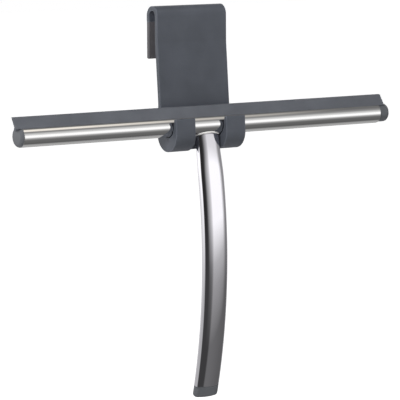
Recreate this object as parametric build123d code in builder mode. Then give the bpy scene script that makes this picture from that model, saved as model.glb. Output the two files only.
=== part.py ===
from build123d import *
from math import acos, asin, atan2, cos, degrees, hypot, radians, sin, sqrt
import os

# A bathroom squeegee, hanging blade up in the moulded hanger that carries it on a glass shower screen.
# X runs along the blade, +Y points back through the glass and +Z is up. The origin is the middle of the
# hanger's crown, where it rests on the top edge of the glass.

# Hanger: an inverted U over the glass
glass_gap = 6.2
hanger_wall = 2.6
hanger_width = 47.0
plate_bend_depth = 18.3
plate_bend_radius = 24.0
edge_round = 0.4

# Rear leg, and the soft boot that grips the glass
leg_depth = 6.6
boot_height = 21.0
boot_skin = 1.2
leg_core = 1.0
boot_fit = 0.05

# The two J hooks under the front plate
seat_gap = 0.35
hook_gap = 20.8
web_setback = 3.2
chin_radius = 10.2
chin_setback = 0.75
chin_drop = 4.3
lip_height = 4.9
lip_thickness = 1.8
lip_flare = 0.75
lip_round = 0.7
waist_depth = 53.0
waist_thickness = 2.55

# Head tube: its axis in the hanger's frame, and its section
head_shift = 1.8
head_back = -16.0
head_depth = -65.0
head_radius = 6.0
head_wall = 0.8
head_length = 242.0
slot_angle = 114.0
slot_width = 2.2
rim_round = 0.2

# Rubber blade: the fin's points are measured from the head's axis, backward and upward
blade_length = 250.0
fin_front_angle = 128.0
fin_back_angle = 101.0
fin_tip_front = (0.5, 10.7)
fin_tip_back = (1.85, 10.95)
neck_width = 2.0
neck_root = 3.9
bead_radius = 1.9
bead_reach = 2.6
bead_length = 243.0
rubber_play = 0.05

# Rail that holds the blade inside the head, and the plugs that close the head
rail_radius = 5.1
rail_length = 218.0
plug_radius = 5.15
plug_depth = 11.0
plug_round = 1.8
plug_heads = {"left_end_cap": (-1, 2.0, 5.8), "right_end_cap": (1, 7.1, 5.4)}

# Handle: a bowed tube of oval section, welded under the head
handle_chord = 152.6
handle_bow = 9.7
handle_drop = 151.0
handle_wall = 0.8
handle_sections = 11
oval_half_depth = 3.4
oval_side_radius = 2.6
neck_half_width = 7.7
grip_half_width = 8.25
tail_half_width = 8.1
neck_end = 12.0
grip_start = 30.0
weld_size = 0.5
weld_fit = 0.02
weld_top = 2.0
weld_foot = 10.0
cap_height = 6.8
cap_inset = 0.05
cap_round = 1.9
spigot_depth = 12.0
spigot_fit = 0.1

os.makedirs("parts", exist_ok=True)


def polar(radius, angle, centre=(0.0, 0.0)):
    """The point at a radius and an angle in degrees about a centre."""
    return (centre[0] + radius * cos(radians(angle)), centre[1] + radius * sin(radians(angle)))


def rear_tangent(point, centre, radius):
    """Where the line from a point above a circle touches the circle's rear side."""
    away = (point[0] - centre[0], point[1] - centre[1])
    angle = degrees(atan2(away[1], away[0]) - acos(radius / hypot(*away)))
    return polar(radius, angle, centre)


# ---------------------------------------------------------------- hanger
half_gap = glass_gap / 2
crown_radius = half_gap + hanger_wall
head_centre = (head_back, head_depth)
seat_radius = head_radius + seat_gap
chin_centre = (head_back + chin_setback, head_depth - chin_drop)
bend_front = (-crown_radius, -plate_bend_depth)
bend_back = (-half_gap, -plate_bend_depth)
seat_rear = rear_tangent(bend_front, head_centre, seat_radius)
plate_slope = (bend_front[0] - seat_rear[0]) / (bend_front[1] - seat_rear[1])
waist_front = bend_front[0] - plate_slope * (waist_depth - plate_bend_depth)
waist = (waist_front + waist_thickness, -waist_depth)
chin_rear = rear_tangent(waist, chin_centre, chin_radius)
seat_front = polar(seat_radius, 180, head_centre)
lip_top = head_depth + lip_height
lip_inner = (seat_front[0] - lip_flare, lip_top)
lip_outer = (lip_inner[0] - lip_thickness, lip_top)
chin_front = polar(chin_radius, 180, chin_centre)
web_face = head_back + web_setback
leg_middle = half_gap + hanger_wall / 2
core_half_width = hanger_width / 2 - boot_skin - boot_fit
core_length = boot_height - boot_skin - boot_fit


def is_rounded(edge):
    """Whether a moulded end edge is rounded: not where a hook meets the web, nor on top of the boot."""
    at_web = abs(edge.center().X) < hook_gap and edge.center().Y > web_face - 0.1
    at_boot = abs(edge.center().Z + leg_depth) < 0.1
    return not (at_web or at_boot)


with BuildPart() as hanger:
    with BuildSketch(Plane.YZ):
        with BuildLine():
            Line(bend_back, (-half_gap, -half_gap))
            ThreePointArc((-half_gap, -half_gap), (0, 0), (half_gap, -half_gap))
            Polyline(
                (half_gap, -half_gap),
                (half_gap, -leg_depth),
                (crown_radius, -leg_depth),
                (crown_radius, -half_gap),
            )
            ThreePointArc((crown_radius, -half_gap), (0, hanger_wall), (-crown_radius, -half_gap))
            Polyline((-crown_radius, -half_gap), bend_front, seat_rear)
            ThreePointArc(seat_rear, polar(seat_radius, -90, head_centre), seat_front)
            Polyline(seat_front, lip_inner, lip_outer, chin_front)
            ThreePointArc(chin_front, polar(chin_radius, -90, chin_centre), chin_rear)
            Polyline(chin_rear, waist, bend_back)
        make_face()
    extrude(amount=hanger_width / 2, both=True)
    long_edges = hanger.edges().filter_by(Axis.X)
    fillet(
        long_edges.filter_by_position(Axis.Z, -waist_depth - 1, -plate_bend_depth + 1),
        radius=plate_bend_radius,
    )
    long_edges = hanger.edges().filter_by(Axis.X)
    lip_edges = long_edges.filter_by_position(Axis.Z, lip_top - 0.1, lip_top + 0.1)
    fillet(lip_edges.filter_by_position(Axis.Y, lip_outer[0] - 0.1, lip_inner[0] + 0.1), radius=lip_round)
    # The handle hangs in the gap between the hooks, in front of a web that joins them.
    with BuildSketch(Plane.XY.offset(lip_top + 2)):
        with Locations((0, web_face)):
            Rectangle(hook_gap, 3 * chin_radius, align=(Align.CENTER, Align.MAX))
    extrude(amount=-3 * chin_radius, mode=Mode.SUBTRACT)
    fillet(hanger.faces().filter_by(Axis.X).edges().filter_by(is_rounded), radius=edge_round)
    # The rear leg goes on down as a thin core inside its boot.
    with BuildSketch(Plane.XY.offset(-leg_depth)):
        with Locations((0, leg_middle)):
            Rectangle(2 * core_half_width, leg_core)
    extrude(amount=-core_length)
hanger.part.label = "hanger"
export_step(hanger.part, "parts/hanger.step")

# ---------------------------------------------------------------- rear grip boot
with BuildPart() as rear_grip_boot:
    with BuildSketch(Plane.XY.offset(-leg_depth)):
        with Locations((0, leg_middle)):
            Rectangle(hanger_width, hanger_wall)
    extrude(amount=-boot_height)
    fillet(rear_grip_boot.edges().filter_by(Axis.Z), radius=edge_round)
    fillet(rear_grip_boot.faces().sort_by(Axis.Z)[0].edges(), radius=edge_round)
    with BuildSketch(Plane.XY.offset(-leg_depth)):
        with Locations((0, leg_middle)):
            Rectangle(2 * (core_half_width + boot_fit), leg_core + 2 * boot_fit)
    extrude(amount=-(boot_height - boot_skin), mode=Mode.SUBTRACT)
rear_grip_boot.part.label = "rear_grip_boot"
export_step(rear_grip_boot.part, "parts/rear_grip_boot.step")

# ---------------------------------------------------------------- head of the squeegee
head_plane = Plane(origin=(head_shift, head_back, head_depth), x_dir=(0, 1, 0), z_dir=(1, 0, 0))


def draw_neck(width):
    """The blade's neck, from the bead out through the head."""
    neck_top = head_radius + 0.2
    with Locations(polar((neck_root + neck_top) / 2, slot_angle)):
        Rectangle(neck_top - neck_root, width, rotation=slot_angle)


def draw_bead(radius):
    """The blade's round bead."""
    with Locations(polar(bead_reach, slot_angle)):
        Circle(radius)


with BuildPart() as head_tube:
    with BuildSketch(head_plane.offset(-head_length / 2)):
        Circle(head_radius)
        Circle(head_radius - head_wall, mode=Mode.SUBTRACT)
        with Locations(polar(head_radius, slot_angle)):
            Rectangle(3 * head_wall, slot_width, rotation=slot_angle, mode=Mode.SUBTRACT)
    extrude(amount=head_length)
    rims = head_tube.edges().filter_by(GeomType.CIRCLE)
    fillet(rims.filter_by(lambda edge: edge.radius > head_radius - 0.1), radius=rim_round)
head_tube.part.label = "head_tube"
export_step(head_tube.part, "parts/head_tube.step")

with BuildPart() as blade:
    with BuildSketch(head_plane.offset(-blade_length / 2)):
        foot_radius = head_radius + rubber_play
        foot_front = polar(foot_radius, fin_front_angle)
        foot_back = polar(foot_radius, fin_back_angle)
        with BuildLine():
            ThreePointArc(foot_front, polar(foot_radius, slot_angle), foot_back)
            Polyline(foot_back, fin_tip_back, fin_tip_front, foot_front)
        make_face()
        draw_neck(neck_width)
    extrude(amount=blade_length)
    # The bead stops just outside the head, where the fin and its neck go on alone.
    with BuildSketch(head_plane.offset(-bead_length / 2)):
        draw_bead(bead_radius)
    extrude(amount=bead_length)
blade.part.label = "blade"
export_step(blade.part, "parts/blade.step")

with BuildPart() as blade_rail:
    with BuildSketch(head_plane.offset(-rail_length / 2)):
        Circle(rail_radius)
    extrude(amount=rail_length)
    with BuildSketch(head_plane.offset(-rail_length / 2)):
        draw_neck(neck_width + 2 * rubber_play)
        draw_bead(bead_radius + rubber_play)
    extrude(amount=rail_length, mode=Mode.SUBTRACT)
blade_rail.part.label = "blade_rail"
export_step(blade_rail.part, "parts/blade_rail.step")

# Each plug holds the end of the blade's bead in a blind hole, so the blade can't slide along the head. The
# neck's slot goes on as far as the blade does.
bead_hole = plug_depth + (bead_length - head_length) / 2 + 0.3
neck_slot = plug_depth + (blade_length - head_length) / 2 + 0.3
for cap_name, (side, head_reach, plug_head_radius) in plug_heads.items():
    plug_foot = head_plane.offset(side * (head_length / 2 - plug_depth))
    with BuildPart() as end_cap:
        with BuildSketch(plug_foot):
            Circle(plug_radius)
        extrude(amount=side * plug_depth)
        with BuildSketch(head_plane.offset(side * head_length / 2)):
            Circle(plug_head_radius)
        extrude(amount=side * head_reach)
        fillet(end_cap.faces().sort_by(Axis.X, reverse=side < 0)[-1].edges(), radius=plug_round)
        with BuildSketch(plug_foot):
            draw_bead(bead_radius + rubber_play)
        extrude(amount=side * bead_hole, mode=Mode.SUBTRACT)
        with BuildSketch(plug_foot):
            draw_neck(neck_width + 2 * rubber_play)
        extrude(amount=side * neck_slot, mode=Mode.SUBTRACT)
    end_cap.part.label = cap_name
    export_step(end_cap.part, f"parts/{cap_name}.step")

# ---------------------------------------------------------------- handle
handle_radius = (handle_chord**2 / 4 + handle_bow**2) / (2 * handle_bow)


def handle_plane(drop):
    """The plane square to the handle's bowed centre line, at a depth below the head's axis."""
    rise = drop - handle_chord / 2
    run = sqrt(handle_radius**2 - rise**2)
    middle = head_back + handle_radius - handle_bow - run
    return Plane(
        origin=(head_shift, middle, head_depth - drop), x_dir=(1, 0, 0), z_dir=(0, rise / run, -1)
    )


def half_width(drop):
    """Half the handle's width: narrow at the neck, full at the grip, a little less at the tail."""
    swell = min(max((drop - neck_end) / (grip_start - neck_end), 0), 1)
    taper = max((drop - handle_chord / 2) / (handle_drop - handle_chord / 2), 0)
    grip = neck_half_width + (grip_half_width - neck_half_width) * swell**2 * (3 - 2 * swell)
    return grip - (grip_half_width - tail_half_width) * taper


def oval(drop, inset):
    """The handle's section at a depth: two flat arcs joined by two tight ones, set in from its skin."""
    wide = half_width(drop) - inset
    deep = oval_half_depth - inset
    tight = oval_side_radius - inset
    flat = ((wide - tight) ** 2 + deep**2 - tight**2) / (2 * (deep - tight))
    join = degrees(asin((wide - tight) / (flat - tight)))
    with BuildSketch(handle_plane(drop)) as section:
        with BuildLine():
            CenterArc((wide - tight, 0), tight, join - 90, 180 - 2 * join)
            CenterArc((0, deep - flat), flat, 90 - join, 2 * join)
            CenterArc((tight - wide, 0), tight, 90 + join, 180 - 2 * join)
            CenterArc((0, flat - deep), flat, 270 - join, 2 * join)
        make_face()
    return section.sketch


def ovals(first_drop, last_drop, count, inset):
    """Evenly spaced sections of the handle between two depths."""
    return [oval(first_drop + (last_drop - first_drop) * i / (count - 1), inset) for i in range(count)]


with BuildPart() as handle_tube:
    loft(ovals(0, handle_drop, handle_sections, 0))
    loft(ovals(0, handle_drop, handle_sections, handle_wall), mode=Mode.SUBTRACT)
    # The top is coped to sit on the head.
    with BuildSketch(head_plane.offset(-2 * neck_half_width)):
        Circle(head_radius + weld_fit)
    extrude(amount=4 * neck_half_width, mode=Mode.SUBTRACT)
handle_tube.part.label = "handle_tube"
export_step(handle_tube.part, "parts/handle_tube.step")

with BuildPart() as neck_weld_bead:
    loft(ovals(weld_top, weld_foot, 3, -weld_size))
    loft(ovals(weld_top, weld_foot, 3, -weld_fit), mode=Mode.SUBTRACT)
    with BuildSketch(head_plane.offset(-2 * neck_half_width)):
        Circle(head_radius + weld_fit + weld_size)
        Circle(head_radius + weld_fit, mode=Mode.SUBTRACT)
    extrude(amount=4 * neck_half_width, mode=Mode.INTERSECT)
neck_weld_bead.part.label = "neck_weld_bead"
export_step(neck_weld_bead.part, "parts/neck_weld_bead.step")

with BuildPart() as handle_end_cap:
    loft(ovals(handle_drop, handle_drop + cap_height, 3, cap_inset))
    fillet(handle_end_cap.faces().sort_by(Axis.Z)[0].edges(), radius=cap_round)
    loft(ovals(handle_drop - spigot_depth, handle_drop, 3, handle_wall + spigot_fit))
handle_end_cap.part.label = "handle_end_cap"
export_step(handle_end_cap.part, "parts/handle_end_cap.step")
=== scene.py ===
from math import acos, asin, atan2, cos, degrees, hypot, pi, radians, sin, sqrt, tan

import bmesh
import bpy
from mathutils import Matrix, Vector


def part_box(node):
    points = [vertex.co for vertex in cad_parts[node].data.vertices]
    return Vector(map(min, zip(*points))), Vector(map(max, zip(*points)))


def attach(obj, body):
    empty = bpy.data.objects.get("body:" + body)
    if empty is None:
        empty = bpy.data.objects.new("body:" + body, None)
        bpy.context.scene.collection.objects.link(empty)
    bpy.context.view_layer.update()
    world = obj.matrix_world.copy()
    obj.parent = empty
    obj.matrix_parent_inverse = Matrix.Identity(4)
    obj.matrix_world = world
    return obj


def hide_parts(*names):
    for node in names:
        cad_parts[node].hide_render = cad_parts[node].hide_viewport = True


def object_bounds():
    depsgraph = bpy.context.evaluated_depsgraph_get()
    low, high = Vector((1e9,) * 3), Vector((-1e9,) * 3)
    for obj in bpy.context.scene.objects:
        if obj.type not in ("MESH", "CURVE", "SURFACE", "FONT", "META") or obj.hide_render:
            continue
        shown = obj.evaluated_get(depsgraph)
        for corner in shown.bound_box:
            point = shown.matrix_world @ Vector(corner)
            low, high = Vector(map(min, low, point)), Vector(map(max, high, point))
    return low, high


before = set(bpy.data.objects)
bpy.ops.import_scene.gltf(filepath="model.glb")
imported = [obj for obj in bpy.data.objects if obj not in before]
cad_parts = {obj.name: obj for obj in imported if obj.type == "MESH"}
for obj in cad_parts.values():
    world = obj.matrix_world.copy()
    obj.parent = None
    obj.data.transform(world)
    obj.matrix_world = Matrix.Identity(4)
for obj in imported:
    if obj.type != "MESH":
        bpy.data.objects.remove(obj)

# The looks of a bathroom squeegee in its over-glass hanger. Outlines are in millimetres, in the frame's
# YZ plane as (back, up), and every mesh is scaled to metres as it is made.
MM = 0.001
cad_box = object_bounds()


def middle(node):
    """The middle of a CAD node's box, in millimetres."""
    low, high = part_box(node)
    return (low + high) / 2 / MM


def extent(node):
    """The lowest and highest corner of a CAD node's box, in millimetres."""
    low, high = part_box(node)
    return low / MM, high / MM


# ------------------------------------------------------------------------------------------ sizes
# The hanger: an inverted U over the glass, a bent front plate, and two J hooks under it
half_gap = 3.1
wall = 2.6
plate_bend_depth = 18.3
plate_bend_radius = 24.0
leg_depth = 6.6
leg_core = 1.0
boot_skin = 1.2
seat_radius = 6.35
hook_gap = 20.8
web_setback = 3.2
chin_radius = 10.2
chin_setback = 0.75
chin_drop = 4.3
lip_height = 4.9
lip_thickness = 1.8
lip_flare = 0.75
lip_round = 0.7
waist_depth = 53.0
waist_thickness = 2.55
edge_round = 0.45
sharp_angle = 32

# The head: tube, blade and rail, in polar measures about the tube's axis
head_low, head_high = extent("head_tube")
head_radius = (head_high.y - head_low.y) / 2
head_wall = 0.8
head_centre = (middle("head_tube").y, head_high.z - head_radius)
head_middle = middle("head_tube").x
head_place = Vector((head_middle, *head_centre)) * MM
slot_angle = 114.0
slot_width = 2.2
tube_edge_round = 0.2
fin_front_angle = 128.0
fin_back_angle = 101.0
fin_tip_front = (0.5, 10.7)
fin_tip_back = (1.85, 10.95)
neck_width = 2.0
bead_radius = 1.9
bead_reach = 2.6
bead_length = 243.0
blade_edge_round = 0.16
rail_radius = 5.1
rail_edge_round = 0.1
play = 0.05

# The handle: a bowed tube of oval section
handle_chord = 152.6
handle_bow = 9.7
handle_drop = 151.0
handle_wall = 0.8
oval_half_depth = 3.4
oval_side_radius = 2.6
neck_half_width = 7.7
grip_half_width = 8.25
tail_half_width = 8.1
neck_end = 12.0
grip_start = 30.0
handle_radius = (handle_chord**2 / 4 + handle_bow**2) / (2 * handle_bow)
cope_clearance = 0.02
weld_radius = 0.42
cap_height = 6.8
cap_inset = 0.05
cap_round = 1.9
cap_seam = 0.3
cap_seam_round = 0.08
cap_foot_inset = 2.35
spigot_depth = 12.0
spigot_inset = 0.9
spigot_lead = 0.4
spigot_taper = 0.3


# ------------------------------------------------------------------------------------------ outlines
def polar(radius, angle, centre=(0.0, 0.0)):
    """The point at a radius and an angle in degrees about a centre."""
    return (centre[0] + radius * cos(radians(angle)), centre[1] + radius * sin(radians(angle)))


def arc(centre, radius, start, end, steps):
    """Points along an arc from one angle to another, in degrees."""
    return [polar(radius, start + (end - start) * i / steps, centre) for i in range(steps + 1)]


def bend(before, corner, after, radius, steps=6):
    """Points round a corner of an outline."""
    back = (Vector(before) - Vector(corner)).normalized()
    on = (Vector(after) - Vector(corner)).normalized()
    half = back.angle(on) / 2
    centre = Vector(corner) + (back + on).normalized() * (radius / sin(half))
    reach = radius / tan(half)
    first = Vector(corner) + back * reach - centre
    last = Vector(corner) + on * reach - centre
    start = degrees(atan2(first.y, first.x))
    turn = (degrees(atan2(last.y, last.x)) - start + 180) % 360 - 180
    return arc(centre, radius, start, start + turn, steps)


def rear_tangent_angle(point, centre, radius):
    """The angle at which a line from a point above a circle touches the circle's rear side."""
    away = (point[0] - centre[0], point[1] - centre[1])
    return degrees(atan2(away[1], away[0]) - acos(radius / hypot(*away)))


def without_repeats(points):
    """A closed outline's points, each once."""
    kept = []
    for point in points:
        if not kept or hypot(point[0] - kept[-1][0], point[1] - kept[-1][1]) > 1e-4:
            kept.append(point)
    return kept


def keyhole(neck, bead, reach):
    """The groove for the blade: down one side of the neck, round the bead and up the other side."""
    up = Vector(polar(1, slot_angle))
    side = Vector((-up.y, up.x))
    half = neck / 2
    meet = degrees(asin(half / bead))
    centre = polar(bead_reach, slot_angle)
    round_bead = arc(centre, bead, slot_angle + meet, slot_angle + 360 - meet, 28)
    return [tuple(up * reach + side * half)] + round_bead + [tuple(up * reach - side * half)]


# ------------------------------------------------------------------------------------------ meshes
def make_piece(name, vertices, faces, body, node, material, edge=0.0):
    """A closed mesh in millimetres becomes a piece that stands for a CAD node."""
    mesh = bpy.data.meshes.new(name)
    mesh.from_pydata([Vector(v) * MM for v in vertices], [], faces)
    work = bmesh.new()
    work.from_mesh(mesh)
    unused = [vertex for vertex in work.verts if not vertex.link_faces]
    bmesh.ops.delete(work, geom=unused, context="VERTS")
    bmesh.ops.recalc_face_normals(work, faces=work.faces)
    work.to_mesh(mesh)
    work.free()
    mesh.shade_smooth()
    piece = bpy.data.objects.new(name, mesh)
    bpy.context.scene.collection.objects.link(piece)
    if edge:
        round_off = piece.modifiers.new("round_off", "BEVEL")
        round_off.width = edge * MM
        round_off.segments = 3
        round_off.limit_method = "ANGLE"
        round_off.angle_limit = radians(sharp_angle)
        round_off.miter_outer = "MITER_ARC"
    normals = piece.modifiers.new("flat_sides", "WEIGHTED_NORMAL")
    normals.weight = 100
    mesh.materials.append(material)
    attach(piece, body)
    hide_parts(node)


def prism(outline, low, high):
    """An outline drawn out along X between two places."""
    count = len(outline)
    vertices = [(x, y, z) for x in (low, high) for y, z in outline]
    faces = [(i, (i + 1) % count, count + (i + 1) % count, count + i) for i in range(count)]
    faces += [tuple(range(count)), tuple(range(2 * count - 1, count - 1, -1))]
    return vertices, faces


def stepped_prism(outline, stations, first, last, cut_spans, open_edge=None):
    """An outline drawn out along X in three lengths. In the cut ones its points from first to last are
    left out, and a flat face runs straight across between those two."""
    count = len(outline)
    vertices = [(x, y, z) for x in stations for y, z in outline]
    faces = []
    for span in range(3):
        here, there = span * count, (span + 1) * count
        for i in range(count):
            j = (i + 1) % count
            cut_off = span in cut_spans and first <= i < last
            if i != open_edge and not cut_off:
                faces.append((here + i, here + j, there + j, there + i))
        if span in cut_spans:
            faces.append((here + first, here + last, there + last, there + first))
    for station in (1, 2):
        faces.append(tuple(station * count + i for i in range(first, last + 1)))
    for station, span in ((0, 0), (3, 2)):
        kept = [i for i in range(count) if span not in cut_spans or not first < i < last]
        faces.append(tuple(station * count + i for i in kept))
    return vertices, faces


def tube_of_rings(rings, closed=False):
    """Rings of equally many points, joined in order; open tubes are capped at both ends."""
    count = len(rings[0])
    vertices = [point for ring in rings for point in ring]
    faces = []
    spans = len(rings) if closed else len(rings) - 1
    for r in range(spans):
        here, there = r * count, (r + 1) % len(rings) * count
        for i in range(count):
            j = (i + 1) % count
            faces.append((here + i, here + j, there + j, there + i))
    if not closed:
        faces.append(tuple(range(count)))
        faces.append(tuple(range(len(vertices) - 1, len(vertices) - count - 1, -1)))
    return vertices, faces


# ------------------------------------------------------------------------------------------ materials
def nodes_of(material):
    """A new material's node tree and its shader."""
    material.use_nodes = True
    tree = material.node_tree
    return tree, tree.nodes["Principled BSDF"]


def noise(tree, scale, detail=2.0, roughness=0.5, stretch=(1, 1, 1)):
    """Noise in the object's own space, with features of about 1/scale metres."""
    place = tree.nodes.new("ShaderNodeTexCoord")
    mapping = tree.nodes.new("ShaderNodeMapping")
    mapping.inputs["Scale"].default_value = stretch
    texture = tree.nodes.new("ShaderNodeTexNoise")
    texture.inputs["Scale"].default_value = scale
    texture.inputs["Detail"].default_value = detail
    texture.inputs["Roughness"].default_value = roughness
    tree.links.new(place.outputs["Object"], mapping.inputs["Vector"])
    tree.links.new(mapping.outputs["Vector"], texture.inputs["Vector"])
    return texture.outputs["Fac"]


def spread(tree, value, low, high, start=0.3, end=0.7):
    """A value mapped to a range of numbers."""
    change = tree.nodes.new("ShaderNodeMapRange")
    change.inputs["From Min"].default_value = start
    change.inputs["From Max"].default_value = end
    change.inputs["To Min"].default_value = low
    change.inputs["To Max"].default_value = high
    tree.links.new(value, change.inputs["Value"])
    return change.outputs["Result"]


def blend_colours(tree, factor, first, second):
    """A colour between two, by a factor."""
    mix = tree.nodes.new("ShaderNodeMix")
    mix.data_type = "RGBA"
    mix.inputs["A"].default_value = (*first, 1)
    mix.inputs["B"].default_value = (*second, 1)
    tree.links.new(factor, mix.inputs["Factor"])
    return mix.outputs["Result"]


def bump(tree, shader, height, distance, strength):
    """Relief on a shader."""
    relief = tree.nodes.new("ShaderNodeBump")
    relief.inputs["Distance"].default_value = distance
    relief.inputs["Strength"].default_value = strength
    tree.links.new(height, relief.inputs["Height"])
    tree.links.new(relief.outputs["Normal"], shader.inputs["Normal"])


def near_edges(tree, reach):
    """1 within a reach in metres of an edge, 0 on flats and gentle curves: near an edge the surface's
    direction differs from its average over the reach."""
    likeness_at_edge = 0.93
    likeness_on_flat = 0.992
    rounded = tree.nodes.new("ShaderNodeBevel")
    rounded.samples = 8
    rounded.inputs["Radius"].default_value = reach
    geometry = tree.nodes.new("ShaderNodeNewGeometry")
    likeness = tree.nodes.new("ShaderNodeVectorMath")
    likeness.operation = "DOT_PRODUCT"
    tree.links.new(rounded.outputs["Normal"], likeness.inputs[0])
    tree.links.new(geometry.outputs["Normal"], likeness.inputs[1])
    return spread(tree, likeness.outputs["Value"], 1, 0, likeness_at_edge, likeness_on_flat)


def moulded(name, colour, roughness, grain=1700, relief=0.35, edge_highlight_gain=1.0):
    """Matte moulded plastic or rubber: fine grain and faint mottling. A value above 1 for the last
    argument paints a highlight on the edges, that much paler than the flats, where rounded edges would
    catch the light."""
    mottle_shade = 1.3
    edge_reach = 0.0008
    material = bpy.data.materials.new(name + "_look")
    tree, shader = nodes_of(material)
    mottle = spread(tree, noise(tree, 55, 4), 0, 1)
    shade = blend_colours(tree, mottle, colour, [c * mottle_shade for c in colour])
    # Painted highlight: the colour is made paler within a short reach of every edge, standing in for
    # the light that rounded edges catch
    if edge_highlight_gain > 1:
        painted_edge_highlight = tree.nodes.new("ShaderNodeMix")
        painted_edge_highlight.data_type = "RGBA"
        painted_edge_highlight.inputs["B"].default_value = (*[c * edge_highlight_gain for c in colour], 1)
        tree.links.new(near_edges(tree, edge_reach), painted_edge_highlight.inputs["Factor"])
        tree.links.new(shade, painted_edge_highlight.inputs["A"])
        shade = painted_edge_highlight.outputs["Result"]
    tree.links.new(shade, shader.inputs["Base Color"])
    fine = noise(tree, grain, 3, 0.6)
    tree.links.new(spread(tree, fine, roughness - 0.05, roughness + 0.07), shader.inputs["Roughness"])
    shader.inputs["Specular IOR Level"].default_value = 0.45
    bump(tree, shader, fine, 0.00004, relief)
    return material


def polished(name, colour, roughness, along, scratches=0.05, metallic=1.0):
    """Polished steel: hairlines along the tube and faint smears that dull the mirror a little."""
    material = bpy.data.materials.new(name + "_look")
    tree, shader = nodes_of(material)
    shader.inputs["Metallic"].default_value = metallic
    hairline = noise(tree, 900, 3, 0.6, along)
    smear = noise(tree, 38, 5, 0.55)
    tint = blend_colours(tree, spread(tree, smear, 0, 1), colour, [c * 0.965 for c in colour])
    tree.links.new(tint, shader.inputs["Base Color"])
    tree.links.new(spread(tree, smear, roughness, roughness + 0.035), shader.inputs["Roughness"])
    bump(tree, shader, hairline, 0.000004, scratches)
    return material


ALONG_HEAD = (0.02, 1, 1)
ALONG_HANDLE = (1, 1, 0.02)
# The hanger's edges get a painted highlight, 2.7 times its own colour
hanger_plastic = moulded("hanger_plastic", (0.0505, 0.0555, 0.0675), 0.52, edge_highlight_gain=2.7)
boot_rubber = moulded("boot_rubber", (0.078, 0.075, 0.081), 0.66, 1300, 0.5)
blade_rubber = moulded("blade_rubber", (0.0735, 0.0785, 0.0905), 0.60, 2200, 0.2)
cap_plastic = moulded("cap_plastic", (0.074, 0.078, 0.086), 0.46)
rail_plastic = moulded("rail_plastic", (0.05, 0.05, 0.05), 0.5)
head_steel = polished("head_steel", (0.88, 0.875, 0.87), 0.035, ALONG_HEAD)
handle_steel = polished("handle_steel", (0.865, 0.85, 0.895), 0.035, ALONG_HANDLE)
weld_steel = polished("weld_steel", (0.95, 0.94, 0.92), 0.25, (1, 1, 1), 0.4, 0.3)


# ------------------------------------------------------------------------------------------ hanger
def make_hanger():
    """The hanger's outline is drawn along X in three lengths: the middle one has no hooks in front."""
    crown = half_gap + wall
    low, high = extent("hanger")
    chin_centre = (head_centre[0] + chin_setback, head_centre[1] - chin_drop)
    bend_front = (-crown, -plate_bend_depth)
    bend_back = (-half_gap, -plate_bend_depth)
    seat_angle = rear_tangent_angle(bend_front, head_centre, seat_radius)
    seat_rear = polar(seat_radius, seat_angle, head_centre)
    slope = (bend_front[0] - seat_rear[0]) / (bend_front[1] - seat_rear[1])
    waist = (bend_front[0] - slope * (waist_depth - plate_bend_depth) + waist_thickness, -waist_depth)
    chin_angle = rear_tangent_angle(waist, chin_centre, chin_radius)
    chin_rear = polar(chin_radius, chin_angle, chin_centre)
    web_face = head_centre[0] + web_setback
    seat_cut = -degrees(acos((web_face - head_centre[0]) / seat_radius))
    chin_cut = -degrees(acos((web_face - chin_centre[0]) / chin_radius))
    seat_front = polar(seat_radius, 180, head_centre)
    chin_front = polar(chin_radius, 180, chin_centre)
    lip_inner = (seat_front[0] - lip_flare, head_centre[1] + lip_height)
    lip_outer = (lip_inner[0] - lip_thickness, lip_inner[1])

    back = bend(chin_rear, waist, bend_back, plate_bend_radius)
    back += bend(waist, bend_back, (-half_gap, -half_gap), plate_bend_radius)
    back += arc((0, -half_gap), half_gap, 180, 0, 32)
    back += [(half_gap, -leg_depth)]
    front = [(crown, -leg_depth)]
    front += arc((0, -half_gap), crown, 0, 180, 48)
    front += bend((-crown, -half_gap), bend_front, seat_rear, plate_bend_radius)
    front += arc(head_centre, seat_radius, seat_angle, seat_cut, 12)
    hook = arc(head_centre, seat_radius, seat_cut, -180, 28)
    hook += bend(seat_front, lip_inner, lip_outer, lip_round, 8)
    hook += bend(lip_inner, lip_outer, chin_front, lip_round, 8)
    hook += arc(chin_centre, chin_radius, -180, chin_cut, 40)
    chin = arc(chin_centre, chin_radius, chin_cut, chin_angle, 24)

    back, front = without_repeats(back), without_repeats(front)
    hook, chin = without_repeats(hook), without_repeats(chin)
    outline = back + front[:-1] + hook[:-1] + chin
    leg_edge = len(back) - 1
    first = len(back) + len(front) - 1
    last = first + len(hook) - 1
    count = len(outline)
    stations = (low.x, -hook_gap / 2, hook_gap / 2, high.x)
    vertices, faces = stepped_prism(outline, stations, first, last, (1,), leg_edge)

    # The thin core that goes on down inside the boot
    core_x = high.x - boot_skin - play
    core_y = half_gap + (wall - leg_core) / 2
    core_end = extent("rear_grip_boot")[0].z + boot_skin + play
    core_top = len(vertices)
    for z in (-leg_depth, core_end):
        vertices += [(-core_x, core_y, z), (core_x, core_y, z)]
        vertices += [(core_x, core_y + leg_core, z), (-core_x, core_y + leg_core, z)]
    for i in range(4):
        j = (i + 1) % 4
        faces.append((core_top + i, core_top + j, core_top + 4 + j, core_top + 4 + i))
    faces.append(tuple(core_top + 4 + i for i in range(4)))
    inner = [s * count + leg_edge for s in range(4)]
    outer = [s * count + leg_edge + 1 for s in range(4)]
    faces.append((*inner, core_top + 1, core_top))
    faces.append((*outer, core_top + 2, core_top + 3))
    faces.append((inner[0], outer[0], core_top + 3, core_top))
    faces.append((inner[3], outer[3], core_top + 2, core_top + 1))
    make_piece(
        "moulded_hanger", vertices, faces, "hanger", "hanger", hanger_plastic,
        edge_round,
    )


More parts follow.
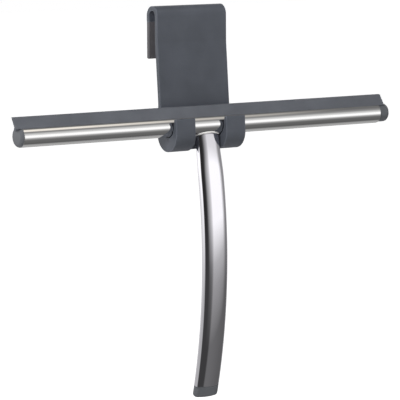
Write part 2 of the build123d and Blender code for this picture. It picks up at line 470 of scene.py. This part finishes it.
def make_boot():
    """A soft boot with a pocket for the leg's core."""
    low, high = extent("rear_grip_boot")
    half_x, half_y = (high.x - low.x) / 2, (high.y - low.y) / 2
    centre_y = (high.y + low.y) / 2

    def ring(inset_x, inset_y, radius, z):
        wide, deep = half_x - inset_x, half_y - inset_y
        points = []
        for quarter, (sx, sy) in enumerate(((1, 1), (-1, 1), (-1, -1), (1, -1))):
            corner = (sx * (wide - radius), sy * (deep - radius))
            points += arc(corner, radius, 90 * quarter, 90 * quarter + 90, 6)
        return [(x, centre_y + y, z) for x, y in points]

    # The pocket from its floor up, then outside over the lip, down the sides and round the foot
    pocket_y = half_y - leg_core / 2 - play
    pocket_floor = low.z + boot_skin
    pocket_round = 0.05
    side_round = 0.55
    least_round = 0.03
    lip = 0.25
    foot = 0.7
    rows = 12
    straight = high.z - low.z - lip - foot
    rings = [ring(boot_skin, pocket_y, pocket_round, z) for z in (pocket_floor, high.z)]
    for angle in (90, 60, 30, 0):
        turn = radians(angle)
        inset = lip * (1 - cos(turn))
        rings.append(ring(inset, inset, side_round - inset, high.z - lip * (1 - sin(turn))))
    for i in range(1, rows):
        rings.append(ring(0, 0, side_round, high.z - lip - straight * i / rows))
    for angle in range(0, 91, 15):
        turn = radians(angle)
        inset = foot * (1 - cos(turn))
        up = low.z + foot * (1 - sin(turn))
        rings.append(ring(inset, inset, max(side_round - inset, least_round), up))
    vertices, faces = tube_of_rings(rings)
    make_piece(
        "soft_grip_boot", vertices, faces, "hanger", "rear_grip_boot", boot_rubber
    )


# ------------------------------------------------------------------------------------------ head
def about_head(points):
    """Points about the head's axis, moved to where it lies."""
    return [(head_centre[0] + y, head_centre[1] + z) for y, z in points]


def make_head_tube():
    """A round tube with a slot cut along it."""
    outer_gap = degrees(asin(slot_width / 2 / head_radius))
    inner_gap = degrees(asin(slot_width / 2 / (head_radius - head_wall)))
    outline = arc((0, 0), head_radius, slot_angle + outer_gap, slot_angle + 360 - outer_gap, 180)
    outline += arc(
        (0, 0), head_radius - head_wall, slot_angle + 360 - inner_gap, slot_angle + inner_gap, 120
    )
    vertices, faces = prism(about_head(outline), head_low.x, head_high.x)
    make_piece(
        "polished_head_tube", vertices, faces, "squeegee", "head_tube", head_steel,
        tube_edge_round,
    )


def make_blade():
    """The fin that wipes, with the neck through the slot and the bead in the rail along its middle."""
    low, high = extent("blade")
    foot_radius = head_radius + play
    neck_gap = degrees(asin(neck_width / 2 / foot_radius))
    foot = arc((0, 0), foot_radius, fin_front_angle, slot_angle + neck_gap, 8)
    bead = keyhole(neck_width, bead_radius, foot_radius)[1:-1]
    outline = foot + bead + arc((0, 0), foot_radius, slot_angle - neck_gap, fin_back_angle, 8)
    outline += [fin_tip_back, fin_tip_front]
    stations = (low.x, head_middle - bead_length / 2, head_middle + bead_length / 2, high.x)
    bead_first = len(foot)
    bead_last = len(foot) + len(bead) - 1
    vertices, faces = stepped_prism(about_head(outline), stations, bead_first, bead_last, (0, 2))
    make_piece(
        "rubber_blade", vertices, faces, "squeegee", "blade", blade_rubber,
        blade_edge_round,
    )


def make_rail():
    """The rail that holds the bead inside the head."""
    low, high = extent("blade_rail")
    neck = neck_width + 2 * play
    gap = degrees(asin(neck / 2 / rail_radius))
    outline = arc((0, 0), rail_radius, slot_angle - gap, slot_angle + gap - 360, 96)
    groove = keyhole(neck, bead_radius + play, rail_radius)
    outline += groove[1:-1]
    vertices, faces = prism(about_head(outline), low.x, high.x)
    make_piece(
        "bead_rail", vertices, faces, "squeegee", "blade_rail", rail_plastic,
        rail_edge_round,
    )


# ------------------------------------------------------------------------------------------ handle
def half_width(drop):
    """Half the handle's width: narrow at the neck, full at the grip, a little less at the tail."""
    swell = min(max((drop - neck_end) / (grip_start - neck_end), 0), 1)
    taper = max((drop - handle_chord / 2) / (handle_drop - handle_chord / 2), 0)
    grip = neck_half_width + (grip_half_width - neck_half_width) * swell**2 * (3 - 2 * swell)
    return grip - (grip_half_width - tail_half_width) * taper


def oval(drop, inset, flat_steps=20, side_steps=14):
    """The handle's section at a depth, as (across, forward) points."""
    wide = half_width(drop) - inset
    deep = oval_half_depth - inset
    tight = oval_side_radius - inset
    flat = ((wide - tight) ** 2 + deep**2 - tight**2) / (2 * (deep - tight))
    join = degrees(asin((wide - tight) / (flat - tight)))
    points = arc((wide - tight, 0), tight, join - 90, 90 - join, side_steps)[:-1]
    points += arc((0, deep - flat), flat, 90 - join, 90 + join, flat_steps)[:-1]
    points += arc((tight - wide, 0), tight, 90 + join, 270 - join, side_steps)[:-1]
    points += arc((0, flat - deep), flat, 270 - join, 270 + join, flat_steps)[:-1]
    return points


def handle_point(drop, inset, index):
    """One of the oval's points, at a depth along the bowed handle."""
    across, forward = oval(drop, inset)[index]
    rise = drop - handle_chord / 2
    run = sqrt(handle_radius**2 - rise**2)
    lean = atan2(rise, run)
    back = head_centre[0] + handle_radius - handle_bow - run - forward * cos(lean)
    up = head_centre[1] - drop - forward * sin(lean)
    return (head_middle + across, back, up)


def cope(inset, index, radius):
    """The depth at which a line along the handle comes out of the head."""
    low, high = 0.0, 14.0
    for _ in range(40):
        drop = (low + high) / 2
        _, back, up = handle_point(drop, inset, index)
        if hypot(back - head_centre[0], up - head_centre[1]) < radius:
            low = drop
        else:
            high = drop
    return high


def coped_line(inset):
    """For each point of the oval, the depth at which its line comes just clear of the head."""
    return [cope(inset, i, head_radius + cope_clearance) for i in range(len(oval(0, 0)))]


def level_ring(drop, inset):
    """A ring of the handle's points, all at one depth."""
    return [handle_point(drop, inset, i) for i in range(len(oval(0, 0)))]


def make_handle():
    """Outside from the head to the tail, then inside back up to the head."""
    outer_rows = 64
    inner_rows = 16
    crowding = 1.15
    rim = 0.12

    def ring(coped, end, along, inset):
        """A ring part of the way from the coped line to a depth at the other end."""
        return [handle_point(start + (end - start) * along, inset, i) for i, start in enumerate(coped)]

    coped = coped_line(0)
    rings = []
    for row in range(outer_rows + 1):
        rings.append(ring(coped, handle_drop - rim, (row / outer_rows) ** crowding, 0))
    for angle in (30, 60, 90):
        turn = radians(angle)
        rings.append(level_ring(handle_drop - rim * (1 - sin(turn)), rim * (1 - cos(turn))))
    coped = coped_line(handle_wall)
    for row in range(inner_rows + 1):
        rings.append(ring(coped, handle_drop, 1 - row / inner_rows, handle_wall))
    vertices, faces = tube_of_rings(rings, closed=True)
    make_piece(
        "bowed_handle", vertices, faces, "squeegee", "handle_tube", handle_steel
    )


def make_weld():
    """A round bead that follows the line where the handle meets the head."""
    line = [Vector(handle_point(drop, 0, i)) for i, drop in enumerate(coped_line(0))]
    count = len(line)
    steps = 12
    turns = [2 * pi * step / steps for step in range(steps)]
    rings = []
    for i in range(count):
        ahead = (line[(i + 1) % count] - line[i - 1]).normalized()
        out = Vector((0, line[i].y - head_centre[0], line[i].z - head_centre[1]))
        out = (out - ahead * out.dot(ahead)).normalized()
        side = ahead.cross(out)
        rings.append([tuple(line[i] + (out * cos(a) + side * sin(a)) * weld_radius) for a in turns])
    vertices, faces = tube_of_rings(rings, closed=True)
    make_piece(
        "neck_weld", vertices, faces, "squeegee", "neck_weld_bead", weld_steel
    )


def make_tail_cap():
    """A plug with a spigot in the handle, and a rounded, slightly crowned foot."""
    # Steps along it, as (depth, inset from the handle's outside)
    spigot_end = handle_drop - spigot_depth
    end = handle_drop + cap_height
    straight = cap_height - cap_seam - cap_round
    steps = [
        (spigot_end, spigot_inset + spigot_taper),
        (spigot_end + spigot_lead, spigot_inset),
        (handle_drop, spigot_inset),
        (handle_drop, cap_inset + cap_seam),
        (handle_drop + cap_seam * 0.5, cap_inset + cap_seam_round),
        (handle_drop + cap_seam, cap_inset),
    ]
    steps += [(handle_drop + cap_seam + straight * i / 4, cap_inset) for i in range(1, 5)]
    for angle in range(10, 81, 10):
        turn = radians(angle)
        steps.append((end - cap_round * (1 - sin(turn)), cap_inset + cap_round * (1 - cos(turn))))
    steps.append((end, cap_foot_inset))
    rings = [level_ring(drop, inset) for drop, inset in steps]
    vertices, faces = tube_of_rings(rings)
    make_piece(
        "tail_cap", vertices, faces, "squeegee", "handle_end_cap", cap_plastic
    )


make_hanger()
make_boot()
make_head_tube()
make_blade()
make_rail()
make_handle()
make_weld()
make_tail_cap()
for cap_node in ("left_end_cap", "right_end_cap"):
    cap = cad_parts[cap_node]
    cap.data.materials.clear()
    cap.data.materials.append(cap_plastic)


# ------------------------------------------------------------------------------------------ studio
def level_ramp(tree, place, stops, smooth=False):
    """A grey level along a line, from stops given as fractions of it."""
    ramp = tree.nodes.new("ShaderNodeValToRGB")
    ramp.color_ramp.interpolation = "EASE" if smooth else "LINEAR"
    band = ramp.color_ramp.elements
    while len(band) < len(stops):
        band.new(0.5)
    for element, (position, level) in zip(band, stops):
        element.position = position
        element.color = (level, level, level, 1)
    tree.links.new(place, ramp.inputs["Fac"])
    return ramp.outputs["Color"]


def card(name, corner, along, up, strength, across_stops, up_stops, tint=(1, 1, 1)):
    """A light card that only glossy surfaces see, with its own fading along both its sides."""
    corner, along, up = Vector(corner), Vector(along), Vector(up)
    mesh = bpy.data.meshes.new(name)
    mesh.from_pydata([corner, corner + along, corner + along + up, corner + up], [], [(0, 1, 2, 3)])
    layer = mesh.uv_layers.new(name="across")
    for loop, place in zip(layer.data, ((0, 0), (1, 0), (1, 1), (0, 1))):
        loop.uv = place
    light = bpy.data.objects.new(name, mesh)
    bpy.context.scene.collection.objects.link(light)
    material = bpy.data.materials.new(name)
    material.use_nodes = True
    tree = material.node_tree
    tree.nodes.clear()
    place = tree.nodes.new("ShaderNodeTexCoord")
    split = tree.nodes.new("ShaderNodeSeparateXYZ")
    tree.links.new(place.outputs["UV"], split.inputs["Vector"])
    both = tree.nodes.new("ShaderNodeMath")
    both.operation = "MULTIPLY"
    tree.links.new(level_ramp(tree, split.outputs["X"], across_stops), both.inputs[0])
    tree.links.new(level_ramp(tree, split.outputs["Y"], up_stops), both.inputs[1])
    glow = tree.nodes.new("ShaderNodeEmission")
    glow.inputs["Strength"].default_value = strength
    glow.inputs["Color"].default_value = (*tint, 1)
    clear = tree.nodes.new("ShaderNodeBsdfTransparent")
    mix = tree.nodes.new("ShaderNodeMixShader")
    out = tree.nodes.new("ShaderNodeOutputMaterial")
    tree.links.new(both.outputs[0], mix.inputs["Fac"])
    tree.links.new(clear.outputs["BSDF"], mix.inputs[1])
    tree.links.new(glow.outputs["Emission"], mix.inputs[2])
    tree.links.new(mix.outputs["Shader"], out.inputs["Surface"])
    mesh.materials.append(material)
    light.visible_camera = False
    light.visible_diffuse = False
    light.visible_shadow = False


def stops_along(start, end, stops):
    """Stops given by place in metres, as fractions of the way from a start to an end."""
    return [((place - start) / (end - start), level) for place, level in stops]


def make_world():
    """The studio by direction: pale behind and to the left, dark on the camera's side, grey below.
    The camera itself sees a plain pale backdrop."""
    world = bpy.data.worlds.new("studio")
    bpy.context.scene.world = world
    world.use_nodes = True
    tree = world.node_tree
    tree.nodes.clear()
    place = tree.nodes.new("ShaderNodeTexCoord")
    split = tree.nodes.new("ShaderNodeSeparateXYZ")
    tree.links.new(place.outputs["Generated"], split.inputs["Vector"])
    ahead = tree.nodes.new("ShaderNodeMath")
    ahead.operation = "MULTIPLY"
    ahead.inputs[1].default_value = -1
    tree.links.new(split.outputs["Y"], ahead.inputs[0])
    azimuth = tree.nodes.new("ShaderNodeMath")
    azimuth.operation = "ARCTAN2"
    tree.links.new(split.outputs["X"], azimuth.inputs[0])
    tree.links.new(ahead.outputs[0], azimuth.inputs[1])
    round_about = spread(tree, azimuth.outputs[0], 0, 1, -pi, pi)

    def ring_of_light(stops):
        """Grey levels by azimuth in degrees, 0 in front of the object and 90 on its right."""
        return level_ramp(tree, round_about, stops_along(-180, 180, stops), smooth=True)

    high_left = ((-180, 1.0), (-78, 1.0), (-55, 0.02), (-4, 0.02))
    high_right = ((20, 0.2), (70, 0.23), (110, 0.3), (150, 0.7), (180, 1.0))
    low_left = ((-180, 0.35), (-78, 0.38), (-55, 0.04), (14, 0.04))
    low_right = ((20, 0.125), (78, 0.09), (96, 0.27), (132, 0.35), (180, 0.35))
    high = ring_of_light(high_left + high_right)
    low = ring_of_light(low_left + low_right)
    mix = tree.nodes.new("ShaderNodeMix")
    mix.data_type = "RGBA"
    tree.links.new(spread(tree, split.outputs["Z"], 0, 1, -0.22, 0.02), mix.inputs["Factor"])
    tree.links.new(low, mix.inputs["A"])
    tree.links.new(high, mix.inputs["B"])
    overhead = tree.nodes.new("ShaderNodeMix")
    overhead.data_type = "RGBA"
    overhead.inputs["B"].default_value = (0.13, 0.13, 0.13, 1)
    tree.links.new(spread(tree, split.outputs["Z"], 0, 1, 0.6, 0.75), overhead.inputs["Factor"])
    tree.links.new(mix.outputs["Result"], overhead.inputs["A"])
    seen = tree.nodes.new("ShaderNodeBackground")
    seen.inputs["Color"].default_value = (1, 1, 1, 1)
    room = tree.nodes.new("ShaderNodeBackground")
    tree.links.new(overhead.outputs["Result"], room.inputs["Color"])
    # The room as the steel mirrors it, and the less that it gives matte surfaces
    mirrored = 1.3
    given = 0.45
    path = tree.nodes.new("ShaderNodeLightPath")
    strength = spread(tree, path.outputs["Is Diffuse Ray"], mirrored, given, 0, 1)
    tree.links.new(strength, room.inputs["Strength"])
    choose = tree.nodes.new("ShaderNodeMixShader")
    out = tree.nodes.new("ShaderNodeOutputWorld")
    tree.links.new(path.outputs["Is Camera Ray"], choose.inputs["Fac"])
    tree.links.new(room.outputs["Background"], choose.inputs[1])
    tree.links.new(seen.outputs["Background"], choose.inputs[2])
    tree.links.new(choose.outputs["Shader"], out.inputs["Surface"])


def make_floor():
    """A pale floor well below the hanging squeegee. The steel mirrors the studio, not the floor, and
    the floor's own glow lights the plastics less than the camera sees of it."""
    depth = cad_box[0].z - 0.35
    reach = 9
    seen_glow = 0.85
    given_glow = 0.2
    corners = ((-reach, -reach), (reach, -reach), (reach, reach), (-reach, reach))
    mesh = bpy.data.meshes.new("pale_floor")
    mesh.from_pydata([(x, y, depth) for x, y in corners], [], [(0, 1, 2, 3)])
    floor = bpy.data.objects.new("pale_floor", mesh)
    bpy.context.scene.collection.objects.link(floor)
    material = bpy.data.materials.new("pale_floor")
    tree, shader = nodes_of(material)
    mottle = spread(tree, noise(tree, 1.5, 3), 0, 1)
    shade = blend_colours(tree, mottle, (0.93, 0.93, 0.92), (0.9, 0.9, 0.89))
    tree.links.new(shade, shader.inputs["Base Color"])
    shader.inputs["Roughness"].default_value = 0.9
    shader.inputs["Emission Color"].default_value = (1, 1, 1, 1)
    path = tree.nodes.new("ShaderNodeLightPath")
    glow = spread(tree, path.outputs["Is Diffuse Ray"], seen_glow, given_glow, 0, 1)
    tree.links.new(glow, shader.inputs["Emission Strength"])
    mesh.materials.append(material)
    floor.visible_glossy = False


def area_light(name, place, aim, size, power):
    """A soft light that the camera doesn't see and the steel doesn't mirror."""
    data = bpy.data.lights.new(name, "AREA")
    data.size = size
    data.energy = power
    light = bpy.data.objects.new(name, data)
    bpy.context.scene.collection.objects.link(light)
    light.location = place
    light.rotation_euler = (Vector(aim) - Vector(place)).to_track_quat("-Z", "Y").to_euler()
    light.visible_camera = False
    light.visible_glossy = False


def make_camera():
    """A long lens, left of the squeegee and a little above it."""
    azimuth = radians(33.0)
    elevation = radians(7.29)
    roll = radians(0.25)
    distance = 1.5024
    head_right_of_axis = 0.0028
    head_above_axis = 0.0432
    ahead = Vector((sin(azimuth) * cos(elevation), cos(azimuth) * cos(elevation), -sin(elevation)))
    level = Vector((cos(azimuth), -sin(azimuth), 0))
    upright = level.cross(ahead)
    right = level * cos(roll) - upright * sin(roll)
    up = level * sin(roll) + upright * cos(roll)
    place = head_place - ahead * distance - right * head_right_of_axis - up * head_above_axis
    data = bpy.data.cameras.new("camera")
    data.sensor_width = 36
    data.lens = 236.7
    camera = bpy.data.objects.new("camera", data)
    bpy.context.scene.collection.objects.link(camera)
    turn = Matrix((right, up, -ahead)).transposed().to_4x4()
    camera.matrix_world = Matrix.Translation(place) @ turn
    bpy.context.scene.camera = camera


make_world()
make_floor()
# A near card in front and to the right, and a warmer one above: the two bright bands in the steel.
# Their edges and the places where they fade are in metres.
FRONT_DISTANCE = 0.6
FRONT_STRENGTH = 1.25
FRONT_LEFT, FRONT_RIGHT, FRONT_LOW, FRONT_HIGH = 0.03, 1.12, -0.52, 0.50
FRONT_LEFT_FADE = ((0.035, 0), (0.068, 0.17), (0.126, 0.34), (0.177, 0.57), (0.20, 0.85), (0.215, 1))
FRONT_RIGHT_FADE = ((0.80, 1), (1.12, 0))
FRONT_LOW_FADE = ((-0.52, 0), (-0.33, 0.17), (-0.25, 0.30), (-0.13, 0.9))
FRONT_HIGH_FADE = ((0.05, 0.92), (0.10, 0.58), (0.24, 0.38), (0.5, 0))
card(
    "front_card",
    (FRONT_LEFT, head_place.y - FRONT_DISTANCE, FRONT_LOW),
    (FRONT_RIGHT - FRONT_LEFT, 0, 0),
    (0, 0, FRONT_HIGH - FRONT_LOW),
    FRONT_STRENGTH,
    stops_along(FRONT_LEFT, FRONT_RIGHT, FRONT_LEFT_FADE + FRONT_RIGHT_FADE),
    stops_along(FRONT_LOW, FRONT_HIGH, FRONT_LOW_FADE + FRONT_HIGH_FADE),
)
TOP_RISE = 0.44
TOP_TILT = 0.06
TOP_STRENGTH = 1.0
TOP_LEFT, TOP_RIGHT, TOP_FRONT, TOP_BACK = 0.0, 0.46, -0.36, -0.06
TOP_ACROSS = ((0, 0), (0.06, 1), (0.20, 1), (0.33, 0.5), (0.40, 0.3), (0.46, 0))
TOP_DEEP = ((-0.36, 0), (-0.27, 1), (-0.126, 1), (-0.06, 0))
card(
    "top_card",
    (TOP_LEFT, head_place.y + TOP_FRONT, head_place.z + TOP_RISE),
    (TOP_RIGHT - TOP_LEFT, 0, 0),
    (0, TOP_BACK - TOP_FRONT, TOP_TILT),
    TOP_STRENGTH,
    stops_along(TOP_LEFT, TOP_RIGHT, TOP_ACROSS),
    stops_along(TOP_FRONT, TOP_BACK, TOP_DEEP),
    tint=(1.0, 0.945, 0.86),
)
area_light("key", (-1.25, -0.85, 0.75), (0, 0, -0.08), 0.7, 26)
area_light("fill", (0.5, -0.9, 1.3), (0, 0, -0.08), 0.8, 13)
area_light("back", (-0.4, 1.2, 0.8), (0, 0, -0.1), 1.0, 9)
make_camera()
bpy.context.scene.view_settings.view_transform = "Standard"
